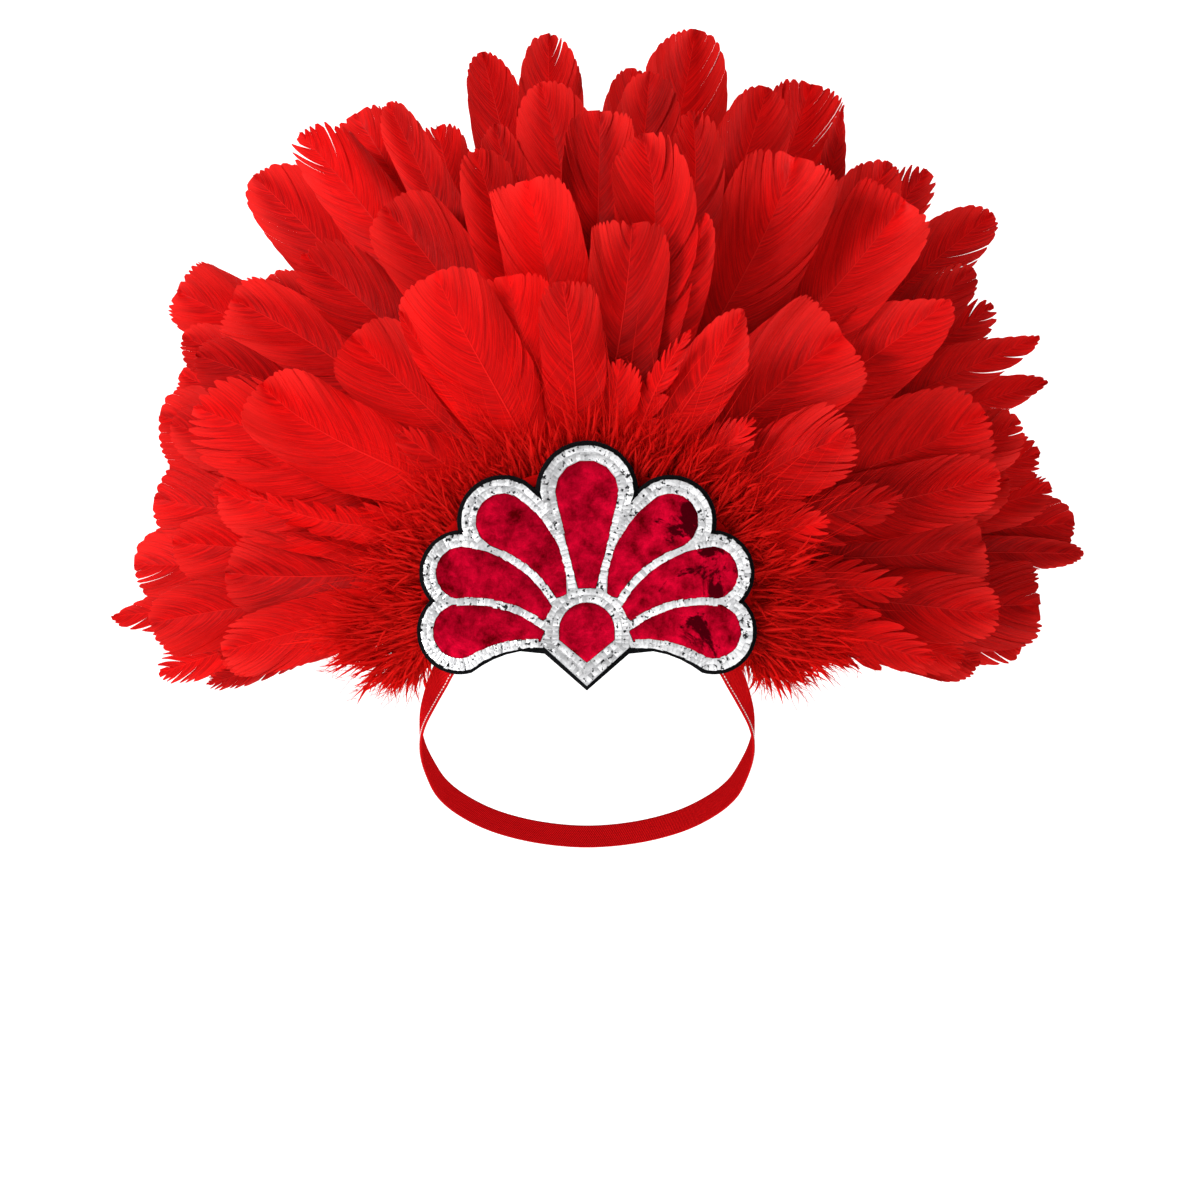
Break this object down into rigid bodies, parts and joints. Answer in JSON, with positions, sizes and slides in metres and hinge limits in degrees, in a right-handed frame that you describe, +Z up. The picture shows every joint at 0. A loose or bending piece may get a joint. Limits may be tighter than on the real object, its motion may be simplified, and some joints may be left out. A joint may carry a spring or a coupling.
{
  "type": "carnival feather headdress",
  "caption": "Showgirl headdress: rows of red feathers fanned round a felt head band, a silver and crimson palmette ornament in front, and an elastic strap round the nape.",
  "frame": {"origin": "inside of the head band at its highest point, in the middle of its depth, where it sits on the head", "axes": "+Z up, +X to the right seen from the front along the fan's width, the ornament faces -Y"},
  "size_m": [0.4326, 0.1924, 0.3664],
  "materials": {
    "band_felt": "matt red felt",
    "black_board": "matt black felt over board",
    "silver_tape": "silver sequin tape with fine dark specks",
    "crimson_foil": "crumpled crimson mirror foil",
    "red_feather": "dyed goose feather, satin vanes with fine barbs",
    "red_down": "dyed down, soft loose strands",
    "red_elastic": "ribbed red elastic with glinting stitches"
  },
  "bodies": {
    "root": {"head_band": "band_felt", "plate_backing": "black_board", "plate_trim": "silver_tape", "inset_top": "crimson_foil", "inset_upper_left": "crimson_foil", "inset_upper_right": "crimson_foil", "inset_mid_left": "crimson_foil", "inset_mid_right": "crimson_foil", "inset_lower_left": "crimson_foil", "inset_lower_right": "crimson_foil", "inset_centre": "crimson_foil", "down_ruff": "red_down", "feather_row_1": "red_feather", "feather_row_2": "red_feather", "feather_row_3": "red_feather", "feather_row_4": "red_feather", "feather_row_5": "red_feather", "elastic_strap": "red_elastic"}
  },
  "joints": []
}
